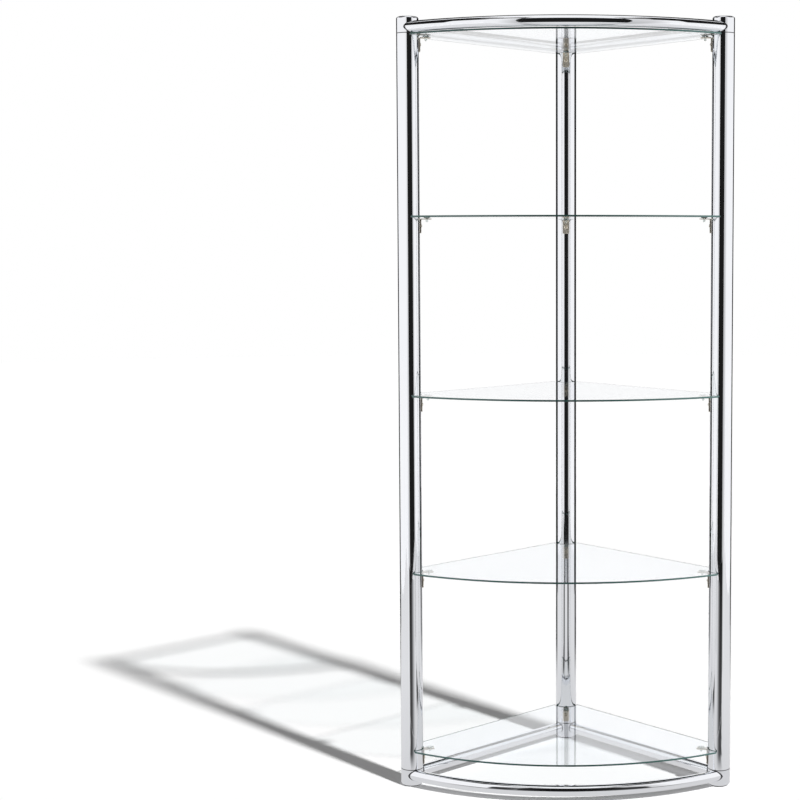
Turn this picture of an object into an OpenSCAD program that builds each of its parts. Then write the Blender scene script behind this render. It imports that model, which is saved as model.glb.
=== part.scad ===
// Corner display shelf: three chromed posts joined by tube rails, with five glass shelves on
// angle brackets. Millimetres, +Z up, front towards -Y, origin on the floor under the middle
// of the shelf's outline.

/* [Frame] */
// Height from the floor to the top of the posts
overall_h = 1750; // [1200:10:2100]
// Distance between post axes along each wall side
side_spacing = 500; // [380:5:650]
// How far the curved rails' centre line bows out in front of the front posts' axes
front_bow = 123; // [90:1:170]

/* [Posts] */
// Outer diameter of the posts and their end collars
post_d = 50.8; // [44:0.2:60]
// Wall thickness of the post tubes
post_wall = 1.5; // [1:0.1:2.5]

/* [Collars] */
// Height of the collar at each end of a post
collar_h = 37; // [34:0.5:50]
// Radius of the rounded outer edge of a collar
collar_edge_r = 4.5; // [2:0.1:5]
// Wall thickness of a collar
collar_wall = 5.4; // [5:0.1:7]
// Thickness of the web that closes a collar towards its post
web_t = 5; // [3:0.5:6]
// Length of the spigot that enters the post
spigot_l = 8; // [5:0.5:15]
// Wall thickness of that spigot
spigot_wall = 3; // [2:0.1:4]
// Radial clearance between a spigot or plug and the tube around it
plug_gap = 0.1; // [0.05:0.05:0.3]
// Thickness of the disc of a top cap
cap_t = 2; // [1.5:0.1:3]
// Length of the skirt of a cap or glide inside its collar
skirt_l = 8; // [4:0.5:10]
// Wall thickness of that skirt
skirt_wall = 1.5; // [1:0.1:2.5]
// Height of a foot glide below its collar
glide_t = 2; // [1:0.5:6]
// Bevel round the foot of a glide
glide_bevel = 0.6; // [0.2:0.1:0.9]

/* [Rails] */
// Outer diameter of the rails
rail_d = 25.4; // [19:0.2:27]
// Wall thickness of the rails
rail_wall = 1.2; // [0.8:0.1:2]
// Distance from a collar's outer end to the rail axis
rail_offset = 24; // [21:0.5:30]
// How far the curved rails' front lies behind the front of the collars
rail_front_inset = 0.5; // [0.4:0.1:2]
// Gap at the joint between a rail and its collar
joint_gap = 0.2; // [0.1:0.05:0.5]
// Length of the threaded plug in a rail end
rail_plug_l = 26; // [22:1:40]

/* [Frame fasteners] */
// Thread diameter of the rail screws
rail_screw_d = 6; // [5:0.5:6]
// Diameter of a rail screw's head
rail_screw_head_d = 10.5; // [9.5:0.5:12]
// Thickness of a rail screw's head
rail_screw_head_t = 3.3; // [2.5:0.1:4]
// Width of the flat seat inside a collar beyond that head, on each side
seat_margin = 1; // [0.5:0.1:1.5]
// Depth that a rail screw enters its plug
rail_screw_grip = 12; // [8:1:14]
// Thread diameter of the clamp bolts
clamp_d = 8; // [6:1:8]
// Diameter of a clamp bolt's head
clamp_head_d = 13; // [11:0.5:14]
// Thickness of a clamp bolt's head
clamp_head_t = 8; // [5:0.5:9]
// Length of a clamp bolt under its head
clamp_l = 25; // [22:1:28]
// Outer diameter of a clamp washer
washer_d = 18; // [15:0.5:22]
// Thickness of a clamp washer
washer_t = 1.6; // [1:0.1:2.5]
// Thickness of the disc of a post plug
post_plug_t = 4; // [3:0.5:6]
// Height of the nut on a post plug
nut_h = 6.5; // [5:0.5:8]
// Width across the corners of that nut
nut_d = 15; // [12:0.5:17]
// Distance from a spigot's end to the post plug
plug_set = 1; // [0.5:0.5:5]
// Clearance of a screw or bolt in a plain hole, on the diameter
hole_play = 0.5; // [0.2:0.1:1]
// Clearance of a thread in its tapped hole, on the diameter
thread_play = 0.1; // [0.05:0.05:0.2]

/* [Glass] */
// Thickness of the glass shelves
glass_t = 4; // [3:0.5:10]
// Height of the lowest shelf's top face above the floor
bottom_shelf_h = 84.5; // [84:0.5:130]
// Extra height of the lowest bay over the bays above it
bottom_bay_extra = 7; // [0:1:40]
// Gap between the top shelf and the rails above it
rail_glass_gap = 1; // [0.5:0.5:4]
// How far the shelves' front edge bows out in front of the front posts' axes
glass_bow = 124.3; // [90:0.1:170]
// How far that edge passes in front of the front posts' axes at the posts
glass_cover = 25; // [22:0.5:28]
// How far the shelves' straight edges lie outside the line of the post axes
glass_edge_out = 18; // [8:0.5:18.5]
// Gap between a post and the notch round it
notch_gap = 1; // [0.5:0.1:3]
// Radius of the rounded tips beside the notches
tip_r = 4; // [2:0.5:5]

/* [Brackets] */
// Width of a bracket
bracket_w = 16; // [12:0.5:22]
// Thickness of a bracket
bracket_t = 2; // [1.5:0.1:3]
// Height of a bracket's upright leg
bracket_h = 33; // [30:0.5:35]
// Length of a bracket's level leg
bracket_l = 26; // [25:0.5:40]
// Outer radius of a bracket's bend
bend_r = 3.5; // [3:0.1:5]
// Corner radius of a bracket's legs
bracket_corner_r = 3; // [1:0.5:5]
// Angle of the front posts' brackets towards the rear
bracket_turn = 15; // [0:1:30]
// Gap between a bracket's back and its post
bracket_gap = 0.1; // [0.05:0.05:0.5]
// Distance from the top of a bracket to its screw
bracket_screw_drop = 16.5; // [14:0.5:22]
// Thread diameter of a bracket screw
bracket_screw_d = 5; // [4:0.5:6]
// Diameter of a bracket screw's head
bracket_head_d = 9.6; // [8.5:0.1:12]
// Thickness of a bracket screw's head
bracket_head_t = 3; // [2:0.1:4]
// Depth that a bracket screw reaches past the post's wall
bracket_screw_tail = 4; // [2:0.5:6]

/* [Suction pads] */
// Diameter of a pad's rim
pad_d = 16; // [13:0.5:17]
// Height of a pad between bracket and glass
pad_h = 2.5; // [2:0.1:4]
// Distance from a bracket's back to the middle of its pad
pad_reach = 16; // [15:0.5:17]
// Diameter of the neck that passes through the bracket
neck_d = 4; // [3:0.1:4.4]
// Diameter of the knob below the bracket
knob_d = 5.4; // [5:0.1:7]
// Length of that knob
knob_l = 6; // [4:0.5:9]
// Depth of the hollow in a pad's top
hollow_depth = 1; // [0.5:0.1:1.4]

/* [Hidden] */
$fn = 96;
arc_fn = 720;

chrome = [0.80, 0.81, 0.83];
zinc = [0.72, 0.71, 0.68];
steel = [0.55, 0.56, 0.58];
glass_tint = [0.72, 0.88, 0.84, 0.45];
pad_tint = [0.90, 0.92, 0.92, 0.6];
glide_black = [0.12, 0.12, 0.13];

post_r = post_d / 2;
rail_r = rail_d / 2;
bore_r = post_r - collar_wall;
tube_r = post_r - post_wall;
spigot_r = tube_r - plug_gap;

// Plan of the frame: front post axes at front_y, rear post axis at rear_y
half_w = side_spacing / sqrt(2);
front_edge = front_bow + rail_r;
rear_edge = half_w + post_r;
front_y = (front_edge - rear_edge) / 2;
rear_y = front_y + half_w;
LEFT = [-half_w, front_y];
RIGHT = [half_w, front_y];
REAR = [0, rear_y];
posts = [["left", LEFT], ["right", RIGHT], ["rear", REAR]];

// Curved rails: the arc passes rail_pass in front of the front posts' axes
rail_pass = post_r - rail_r - rail_front_inset;
rail_side_sq = pow(half_w, 2) + pow(front_bow, 2) - pow(rail_pass, 2);
rail_arc_r = rail_side_sq / (2 * (front_bow - rail_pass));
rail_arc_y = front_y - front_bow + rail_arc_r;
rail_half_angle = atan2(half_w, rail_arc_y - front_y);
// Direction in which a curved rail's end faces the left post's axis, by the law of cosines
post_to_arc = rail_arc_r - rail_pass;
screw_side_sq = pow(post_to_arc, 2) + pow(post_r, 2) - pow(rail_arc_r, 2);
screw_bend = acos(screw_side_sq / (2 * post_to_arc * post_r));
arc_screw_angle = 90 - rail_half_angle - screw_bend;

// Directions of the two rails, and of the brackets, at each post
rail_angles = [[45, arc_screw_angle], [135, 180 - arc_screw_angle], [-135, -45]];
bracket_angles = [bracket_turn, 180 - bracket_turn, -90];

// Heights
collar_foot_z = glide_t;
post_foot_z = glide_t + collar_h;
post_top_z = overall_h - collar_h;
rail_zs = [overall_h - rail_offset, glide_t + rail_offset];
top_shelf_z = rail_zs[0] - rail_r - rail_glass_gap;
shelf_pitch = (top_shelf_z - bottom_shelf_h - bottom_bay_extra) / 4;
shelf_zs = concat([for (k = [0:3]) top_shelf_z - k * shelf_pitch], [bottom_shelf_h]);
function bracket_top_z(shelf) = shelf_zs[shelf - 1] - glass_t - pad_h;
function bracket_screw_z(shelf) = bracket_top_z(shelf) - bracket_screw_drop;

// Inside of a collar: flat pads for the rail screws' heads
seat_w = rail_screw_head_d + 2 * seat_margin;
seat_r = sqrt(pow(bore_r, 2) - pow(seat_w / 2, 2)) - 0.3;
web_z = collar_h - web_t;
post_plug_z = collar_h + spigot_l + plug_set;

// Shelf outline: front arc, straight edges at 45 degrees, and the tips beside each notch
notch_r = post_r + notch_gap;
glass_rise = glass_bow - glass_cover;
glass_arc_r = (pow(half_w, 2) + pow(glass_rise, 2)) / (2 * glass_rise);
glass_arc_y = front_y - glass_bow + glass_arc_r;
glass_apex_y = rear_y + glass_edge_out * sqrt(2);
// Lets a tip's circle cross the edges that it rounds off, where it would only touch them
tip_cross = 0.03;
// Along a straight edge, from the post axis to the centre of a tip's circle
edge_tip_run = sqrt(pow(notch_r + tip_r, 2) - pow(glass_edge_out - tip_r, 2));
// The front tips touch the front arc from inside and the notch from outside
tip_arc = glass_arc_r - tip_r;
tip_notch = notch_r + tip_r;
left_to_arc = norm([half_w, glass_arc_y - front_y]);
tip_side_sq = pow(left_to_arc, 2) + pow(tip_notch, 2) - pow(tip_arc, 2);
tip_bend = acos(tip_side_sq / (2 * left_to_arc * tip_notch));
tip_angle = atan2(glass_arc_y - front_y, half_w) - tip_bend;

shelf_names = ["top", "upper", "middle", "lower", "bottom"];
sides = [for (p = posts) p[0]];
ends = ["top", "bottom"];

function polar(r, angle) = r * [cos(angle), sin(angle)];
function mirrored(p) = [-p[0], p[1]];

// Puts a child at a post's axis
module at_post(i) {
    translate([posts[i][1][0], posts[i][1][1], 0]) children();
}

// Puts a child, made with its outer end at z = 0 and the post above it, at a post's top or foot
module at_end(e, i) {
    at_post(i)
        translate([0, 0, e == 0 ? overall_h : collar_foot_z])
            mirror([0, 0, e == 0 ? 1 : 0]) children();
}

// Turns a child's +Z outward along a direction in plan, at height z
module radial(angle, r, z) {
    translate([0, 0, z]) rotate([0, 0, angle]) translate([r, 0, 0]) rotate([0, 90, 0]) children();
}

// Solids that fill the collars and their joint gaps, cut out of whatever meets them
module collar_cores() {
    for (i = [0:2])
        at_post(i) cylinder(h = overall_h, r = post_r + joint_gap);
}

module ring(outer_r, inner_r, h) {
    difference() {
        cylinder(h = h, r = outer_r);
        translate([0, 0, -1]) cylinder(h = h + 2, r = inner_r);
    }
}

// Post tube with one tapped hole for each of its brackets
module post(i) {
    color(chrome) at_post(i) difference() {
        translate([0, 0, post_foot_z]) ring(post_r, tube_r, post_top_z - post_foot_z);
        for (shelf = [1:5])
            radial(bracket_angles[i], 0, bracket_screw_z(shelf))
                cylinder(h = post_r + 1, d = bracket_screw_d + thread_play);
    }
}

// Half section of a collar: rounded outer edge, bore, web with a bolt hole, and the spigot
module collar_section() {
    hole_r = (clamp_d + hole_play) / 2;
    difference() {
        union() {
            translate([0, collar_edge_r]) square([post_r, collar_h - collar_edge_r]);
            square([post_r - collar_edge_r, collar_edge_r + 1]);
            translate([post_r - collar_edge_r, collar_edge_r]) circle(r = collar_edge_r);
            square([spigot_r, collar_h + spigot_l]);
        }
        translate([-post_d, -1]) square([post_d, post_d * 2]);
        translate([-1, -1]) square([bore_r + 1, web_z + 1]);
        translate([-1, 0]) square([hole_r + 1, post_d * 2]);
        translate([-1, collar_h]) square([spigot_r - spigot_wall + 1, spigot_l + 1]);
    }
}

module collar(e, i) {
    seat_foot = rail_offset - seat_w / 2;
    color(chrome) at_end(e, i) difference() {
        union() {
            rotate_extrude() collar_section();
            for (angle = rail_angles[i])
                rotate([0, 0, angle]) translate([seat_r, -seat_w / 2, seat_foot])
                    cube([bore_r + 1 - seat_r, seat_w, min(seat_w, web_z + 1 - seat_foot)]);
        }
        for (angle = rail_angles[i])
            radial(angle, 0, rail_offset) cylinder(h = post_r + 1, d = rail_screw_d + hole_play);
    }
}

// Cap pressed into a top collar, flush with its rounded edge
module top_cap(i) {
    cap_r = bore_r - plug_gap;
    color(chrome) at_end(0, i) {
        cylinder(h = cap_t, r = cap_r);
        ring(cap_r, cap_r - skirt_wall, skirt_l);
    }
}

// Plastic glide pressed into a bottom collar, with a bevelled foot below it
module foot_glide(i) {
    foot_r = post_r - collar_edge_r;
    skirt_r = bore_r - plug_gap;
    color(glide_black) at_post(i) {
        rotate_extrude()
            polygon([[0, 0], [foot_r - glide_bevel, 0], [foot_r, glide_bevel],
                     [foot_r, glide_t], [0, glide_t]]);
        translate([0, 0, glide_t - 0.5]) ring(skirt_r, skirt_r - skirt_wall, skirt_l + 0.5);
    }
}

// Front rail: a bent tube whose ends are coped to sit on the two front collars
module rail_curved(e) {
    color(chrome) difference() {
        bent_bar(e, rail_r);
        bent_bar(e, rail_r - rail_wall);
        collar_cores();
    }
}

// Round bar along the curved rails' centre line, from one front post's axis to the other
module bent_bar(e, r) {
    translate([0, rail_arc_y, rail_zs[e]])
        rotate([0, 0, -90 - rail_half_angle])
            rotate_extrude(angle = 2 * rail_half_angle, $fn = arc_fn)
                translate([rail_arc_r, 0]) circle(r = r, $fn = 96);
}

// Round bar from a front post's axis to the rear post's axis; side is 0 for left, 1 for right
module straight_bar(e, side, r) {
    at_post(side) radial(rail_angles[side][0], 0, rail_zs[e]) cylinder(h = side_spacing, r = r);
}

module rail_straight(e, side) {
    color(chrome) difference() {
        straight_bar(e, side, rail_r);
        straight_bar(e, side, rail_r - rail_wall);
        collar_cores();
    }
}

// Plug in each rail end, coped like the rail and tapped along its screw
module rail_plug(e, i, k) {
    angle = rail_angles[i][k];
    plug_r = rail_r - rail_wall - plug_gap;
    color(zinc) difference() {
        intersection() {
            if (i < 2 && k == 1)
                bent_bar(e, plug_r);
            else
                straight_bar(e, i == 2 ? k : i, plug_r);
            at_post(i) translate([0, 0, rail_zs[e] - rail_d])
                cylinder(h = 2 * rail_d, r = post_r + rail_plug_l);
        }
        collar_cores();
        at_post(i) radial(angle, 0, rail_zs[e])
            cylinder(h = post_r + joint_gap + rail_screw_grip + 2, d = rail_screw_d + thread_play);
    }
}

// Button-head screw from inside a collar into a rail plug
module rail_screw(e, i, k) {
    reach = post_r + joint_gap + rail_screw_grip;
    color(steel) at_end(e, i) radial(rail_angles[i][k], 0, rail_offset) difference() {
        union() {
            cylinder_between(seat_r - rail_screw_head_t, seat_r, rail_screw_head_d / 2);
            cylinder_between(seat_r - 0.5, reach, rail_screw_d / 2);
        }
        translate([0, 0, seat_r - rail_screw_head_t - 1])
            cylinder(h = rail_screw_head_t * 0.6 + 1, d = rail_screw_d * 0.75, $fn = 6);
    }
}

module cylinder_between(z0, z1, r) {
    translate([0, 0, z0]) cylinder(h = z1 - z0, r = r);
}

// Socket bolt that draws a collar onto its post
module clamp_bolt(e, i) {
    head_z = web_z - washer_t - clamp_head_t;
    color(steel) at_end(e, i) difference() {
        union() {
            cylinder_between(head_z, head_z + clamp_head_t, clamp_head_d / 2);
            cylinder_between(head_z + 1, head_z + clamp_head_t + clamp_l, clamp_d / 2);
        }
        translate([0, 0, head_z - 1]) cylinder(h = clamp_head_t / 2 + 1, d = clamp_d * 0.87, $fn = 6);
    }
}

module clamp_washer(e, i) {
    color(steel) at_end(e, i)
        translate([0, 0, web_z - washer_t]) ring(washer_d / 2, (clamp_d + hole_play) / 2, washer_t);
}

// Disc pressed into the post, with the nut that the clamp bolt draws on
module post_plug(e, i) {
    color(steel) at_end(e, i) translate([0, 0, post_plug_z]) difference() {
        union() {
            cylinder(h = post_plug_t, r = tube_r - plug_gap);
            cylinder(h = post_plug_t + nut_h, d = nut_d, $fn = 6);
        }
        translate([0, 0, -1]) cylinder(h = post_plug_t + nut_h + 2, d = clamp_d + thread_play);
    }
}

// Circles of the left half's tips, with the directions in which they touch the glass edge
left_front_tip = LEFT + polar(tip_notch, tip_angle);
left_front_out = (left_front_tip - [0, glass_arc_y]) / tip_arc;
edge_out = [-1, 1] / sqrt(2);
edge_run = [1, 1] / sqrt(2);
left_rear_tip = LEFT + edge_out * (glass_edge_out - tip_r) + edge_run * edge_tip_run;
rear_left_tip = REAR + edge_out * (glass_edge_out - tip_r) - edge_run * edge_tip_run;

// All that lies beyond two tips on the outer side of a post, less the round tips themselves
module beyond_tips(axis, tip_a, out_a, tip_b, out_b) {
    far = post_d * 2;
    difference() {
        polygon([tip_a + out_a * far, tip_a, axis, tip_b, tip_b + out_b * far]);
        translate(tip_a) circle(r = tip_r + tip_cross);
        translate(tip_b) circle(r = tip_r + tip_cross);
    }
}

module shelf_outline() {
    corner_y = glass_apex_y - 2 * half_w;
    difference() {
        intersection() {
            translate([0, glass_arc_y]) circle(r = glass_arc_r, $fn = arc_fn);
            polygon([[0, glass_apex_y], [-2 * half_w, corner_y], [2 * half_w, corner_y]]);
        }
        for (p = posts)
            translate(p[1]) circle(r = notch_r);
        beyond_tips(LEFT, left_front_tip, left_front_out, left_rear_tip, edge_out);
        beyond_tips(RIGHT, mirrored(left_front_tip), mirrored(left_front_out),
                    mirrored(left_rear_tip), mirrored(edge_out));
        beyond_tips(REAR, rear_left_tip, edge_out, mirrored(rear_left_tip), mirrored(edge_out));
    }
}

// Sheet of glass notched round the three posts
module glass_shelf(shelf) {
    color(glass_tint)
        translate([0, 0, shelf_zs[shelf - 1] - glass_t]) linear_extrude(glass_t) shelf_outline();
}

// Puts a child, drawn with the post's surface at x = 0 and the top of the bracket at z = 0
module at_bracket(shelf, i) {
    at_post(i) translate([0, 0, bracket_top_z(shelf)]) rotate([0, 0, bracket_angles[i]])
        translate([post_r + bracket_gap, 0, 0]) children();
}

// Side view of a bracket: two legs and a round bend
module bracket_section() {
    difference() {
        union() {
            translate([0, -bracket_h]) square([bracket_t, bracket_h - bend_r]);
            translate([bend_r, -bracket_t]) square([bracket_l - bend_r, bracket_t]);
            intersection() {
                translate([bend_r, -bend_r]) circle(r = bend_r);
                translate([0, -bend_r]) square([bend_r, bend_r]);
            }
        }
        translate([bend_r, -bend_r]) circle(r = bend_r - bracket_t);
    }
}

// Strip with its far corners rounded, from x = 0 to length
module rounded_strip(length, width, corner_r) {
    square_w = width - 2 * corner_r;
    translate([0, -width / 2]) square([length - corner_r, width]);
    translate([0, -square_w / 2]) square([length, square_w]);
    for (side = [-1, 1])
        translate([length - corner_r, side * square_w / 2]) circle(r = corner_r);
}

module bracket(shelf, i) {
    color(zinc) at_bracket(shelf, i) difference() {
        intersection() {
            rotate([90, 0, 0]) translate([0, 0, -bracket_w / 2])
                linear_extrude(bracket_w) bracket_section();
            translate([0, 0, -bracket_h - 1])
                linear_extrude(bracket_h + 2) rounded_strip(bracket_l, bracket_w, bracket_corner_r);
            rotate([0, 90, 0]) translate([0, 0, -1])
                linear_extrude(bracket_l + 2) rounded_strip(bracket_h, bracket_w, bracket_corner_r);
        }
        translate([-1, 0, -bracket_screw_drop]) rotate([0, 90, 0])
            cylinder(h = bracket_t + 2, d = bracket_screw_d + hole_play);
        translate([pad_reach, 0, -bracket_t - 1]) cylinder(h = bracket_t + 2, d = neck_d + hole_play);
    }
}

// Clear pad between bracket and glass, held by its knob
module suction_pad(shelf, i) {
    lip = 0.5;
    rim_r = pad_d / 2;
    hollow_r = rim_r - lip;
    dome_r = (pow(hollow_r, 2) + pow(hollow_depth, 2)) / (2 * hollow_depth);
    knob_z = -bracket_t - knob_l;
    color(pad_tint) at_bracket(shelf, i) translate([pad_reach, 0, 0]) difference() {
        union() {
            rotate_extrude()
                polygon([[0, 0], [knob_d / 2 + lip, 0], [rim_r - lip, pad_h - lip],
                         [rim_r, pad_h - lip / 2], [rim_r, pad_h], [0, pad_h]]);
            cylinder_between(knob_z + 1, 1, neck_d / 2);
            cylinder_between(knob_z + knob_d / 2, -bracket_t, knob_d / 2);
            translate([0, 0, knob_z + knob_d / 2]) sphere(d = knob_d);
        }
        translate([0, 0, pad_h + dome_r - hollow_depth]) sphere(r = dome_r, $fn = 180);
    }
}

// Round-head socket screw through the bracket into the post
module bracket_screw(shelf, i) {
    length = bracket_gap + bracket_t + post_wall + bracket_screw_tail;
    cap_r = (pow(bracket_head_d / 2, 2) + pow(bracket_head_t, 2)) / (2 * bracket_head_t);
    color(zinc) at_bracket(shelf, i)
        translate([bracket_t, 0, -bracket_screw_drop]) rotate([0, 90, 0]) difference() {
            union() {
                intersection() {
                    translate([0, 0, bracket_head_t - cap_r]) sphere(r = cap_r);
                    cylinder(h = bracket_head_t + 1, d = bracket_head_d);
                }
                cylinder_between(-length, 0.5, bracket_screw_d / 2);
            }
            translate([0, 0, bracket_head_t * 0.35])
                cylinder(h = bracket_head_t, d = bracket_screw_d * 0.7, $fn = 6);
        }
}

for (i = [0:2]) {
    post(i);
    top_cap(i);
    foot_glide(i);
    for (e = [0, 1])
        collar(e, i);
    for (shelf = [1:5])
        bracket(shelf, i);
}
for (e = [0, 1]) {
    rail_curved(e);
    for (side = [0, 1])
        rail_straight(e, side);
}
for (shelf = [1:5]) {
    glass_shelf(shelf);
    for (i = [0:2]) suction_pad(shelf, i);
}
for (shelf = [1:5], i = [0:2]) bracket_screw(shelf, i);  // bracket_screws
for (e = [0, 1], i = [0:2]) clamp_bolt(e, i);  // clamp_bolts
for (e = [0, 1], i = [0:2]) clamp_washer(e, i);  // clamp_washers
for (e = [0, 1], i = [0:2]) post_plug(e, i);  // post_plugs
for (e = [0, 1], i = [0:2], k = [0, 1]) rail_plug(e, i, k);  // rail_plugs
for (e = [0, 1], i = [0:2], k = [0, 1]) rail_screw(e, i, k);  // rail_screws
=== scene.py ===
import math

import bmesh
import bpy
import numpy as np
from mathutils import Matrix, Vector


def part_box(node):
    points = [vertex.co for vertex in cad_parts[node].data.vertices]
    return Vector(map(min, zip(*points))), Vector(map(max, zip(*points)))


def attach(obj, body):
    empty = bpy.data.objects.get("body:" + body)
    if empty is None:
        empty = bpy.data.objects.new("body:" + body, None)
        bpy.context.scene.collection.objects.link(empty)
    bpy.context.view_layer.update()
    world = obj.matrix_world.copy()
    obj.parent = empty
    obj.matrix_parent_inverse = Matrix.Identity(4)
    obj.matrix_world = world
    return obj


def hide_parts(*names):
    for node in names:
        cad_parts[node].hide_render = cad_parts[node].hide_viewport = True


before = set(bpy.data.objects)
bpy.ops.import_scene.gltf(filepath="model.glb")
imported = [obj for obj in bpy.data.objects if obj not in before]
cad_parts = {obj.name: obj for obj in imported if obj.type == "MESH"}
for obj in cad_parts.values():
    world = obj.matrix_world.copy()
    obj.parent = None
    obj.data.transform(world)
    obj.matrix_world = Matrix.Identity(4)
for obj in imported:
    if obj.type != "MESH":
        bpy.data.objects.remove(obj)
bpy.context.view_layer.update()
scene = bpy.context.scene
sides = ("left", "right", "rear")
ends = ("top", "bottom")
shelves = ("top", "upper", "middle", "lower", "bottom")
weld = 2e-6  # points closer than this become one, in metres
print("frame loaded:", len(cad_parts), "nodes")


def newPiece(name, data):
    piece = bpy.data.objects.new(name, data)
    scene.collection.objects.link(piece)
    return piece


# Camera: the photograph's viewpoint, in metres, radians and pixels of its 800 x 800 frame
view = {"place": (0.01409, -3.78096, 1.25218), "pitchDown": 0.06784, "turn": 0.00383,
        "focalPixels": 1617.88, "centrePixel": (565.5, 350.0), "framePixels": 800.0,
        "sensorWidth": 36.0, "clip": (0.05, 60.0)}


def placeCamera(look):
    size = look["framePixels"]
    data = bpy.data.cameras.new("camera")
    data.sensor_width = look["sensorWidth"]
    data.lens = look["focalPixels"] * look["sensorWidth"] / size
    data.shift_x = (size / 2 - look["centrePixel"][0]) / size
    data.shift_y = (look["centrePixel"][1] - size / 2) / size
    data.clip_start, data.clip_end = look["clip"]
    scene.camera = newPiece("camera", data)
    scene.camera.location = look["place"]
    scene.camera.rotation_euler = (math.pi / 2 - look["pitchDown"], 0, look["turn"])


placeCamera(view)
scene.view_settings.view_transform = "Standard"
print("camera placed")


def operator(operation, swapped=False):
    # An operator of Wire, which adds its Math node
    def run(wire, other):
        return wire.bench.maths(operation, *((other, wire) if swapped else (wire, other)))
    return run


class Wire:
    # A node's output that takes part in Python arithmetic
    def __init__(self, bench, socket):
        self.bench = bench
        self.socket = socket

    __add__ = __radd__ = operator("ADD")
    __mul__ = __rmul__ = operator("MULTIPLY")
    __sub__, __rsub__ = operator("SUBTRACT"), operator("SUBTRACT", swapped=True)
    __truediv__, __rtruediv__ = operator("DIVIDE"), operator("DIVIDE", swapped=True)
    __pow__, __rpow__ = operator("POWER"), operator("POWER", swapped=True)


class Bench:
    # A node tree under construction, for shaders and Geometry Nodes alike
    def __init__(self, tree):
        self.tree = tree

    def node(self, kind, inputs=None, output=0, **settings):
        # Sets a new node's settings first, and then the values or links of its sockets
        made = self.tree.nodes.new(kind)
        for name, value in settings.items():
            setattr(made, name, value)
        for name, value in (inputs or {}).items():
            if isinstance(value, Wire):
                self.tree.links.new(value.socket, made.inputs[name])
            else:
                made.inputs[name].default_value = value
        return Wire(self, made.outputs[output]) if made.outputs else None

    def maths(self, operation, *values):
        return self.node("ShaderNodeMath", dict(enumerate(values)), operation=operation)

    def clamp(self, value):
        return self.node("ShaderNodeMath", {0: value, 1: 0.0}, operation="ADD", use_clamp=True)

    def blend(self, share, first, second):
        return self.node("ShaderNodeMix", {0: share, 6: first, 7: second}, 2, data_type="RGBA")

    def noise(self, place, scale=1.0, detail=2.0, stretch=None):
        if stretch:
            place = self.node("ShaderNodeMapping", {"Vector": place, "Scale": stretch})
        return self.node("ShaderNodeTexNoise", {"Vector": place, "Scale": scale, "Detail": detail})

    def objectPlace(self):
        return self.node("ShaderNodeTexCoord", output="Object")

    def attribute(self, name, output="Fac"):
        return self.node("ShaderNodeAttribute", output=output, attribute_name=name)

    def ray(self, kind):
        return self.node("ShaderNodeLightPath", output="Is " + kind + " Ray")

    def bump(self, height, strength, distance):
        return self.node("ShaderNodeBump", {
            "Height": height, "Strength": strength, "Distance": distance}, output="Normal")

    def surface(self, inputs):
        return self.node("ShaderNodeBsdfPrincipled", inputs)

    def clear(self, colour):
        return self.node("ShaderNodeBsdfTransparent", {"Color": colour})

    def either(self, share, first, second):
        return self.node("ShaderNodeMixShader", {0: share, 1: first, 2: second})


def newMaterial(name, paint, look):
    # A material whose surface is the shader that paint lays out
    material = bpy.data.materials.new(name)
    material.use_nodes = True
    material.node_tree.nodes.clear()
    bench = Bench(material.node_tree)
    bench.node("ShaderNodeOutputMaterial", {"Surface": paint(bench, look)})
    return material


# Chrome plate: bright, with a slow cloudiness, polishing lines and a dark rim at cut ends, which
# also paints the shade of the gaps at the joints
chromeShared = {"cloudTint": 0.5, "lineTint": 0.3, "cutAndShadeColour": (0.012, 0.012, 0.014, 1),
                "cutRoughness": 0.3}
chromeLooks = {
    "chromeTube": {
        "bright": (0.93, 0.94, 0.97, 1), "dull": (0.85, 0.86, 0.90, 1), "roughness": 0.018,
        "cloud": 0.030, "lines": 0.020, "lineStretch": (9, 900, 1)},
    "chromeCasting": {
        "bright": (0.91, 0.92, 0.95, 1), "dull": (0.82, 0.83, 0.87, 1), "roughness": 0.022,
        "cloud": 0.040, "lines": 0.025, "lineStretch": (700, 12, 1)},
    "chromeSpun": {
        "bright": (0.90, 0.91, 0.94, 1), "dull": (0.80, 0.81, 0.85, 1), "roughness": 0.200,
        "cloud": 0.060, "lines": 0.120, "lineStretch": (1600, 6, 1)},
}


def paintChrome(bench, look):
    place = bench.objectPlace()
    cloud = bench.noise(place, scale=6.0, detail=3.0)
    lines = bench.noise(bench.attribute("wallPlace", "Vector"), stretch=look["lineStretch"])
    # Darkens the plate at cut ends, and paints the shade of the gaps at the joints
    cut = bench.clamp(bench.attribute("cut"))
    tint = cloud * look["cloudTint"] + lines * look["lineTint"]
    plate = bench.blend(tint, look["bright"], look["dull"])
    rough = look["roughness"] + cloud * look["cloud"] + lines * look["lines"]
    waves = bench.noise(place, scale=40.0, detail=1.0)
    return bench.surface({
        "Base Color": bench.blend(cut, plate, look["cutAndShadeColour"]), "Metallic": 1.0,
        "Roughness": rough + cut * look["cutRoughness"],
        "Normal": bench.bump(waves, strength=0.05, distance=0.0002)})


# Satin plate of the brackets and screws, drawn along the strip and finely pitted
satinLook = {
    "bright": (0.86, 0.80, 0.70, 1), "dull": (0.64, 0.58, 0.48, 1), "cloudTint": 0.6,
    "toneTint": 0.3, "roughness": 0.34, "drawnRoughness": 0.16, "cloudRoughness": 0.08,
    "drawnGrain": 0.7, "pitGrain": 0.3}


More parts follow.
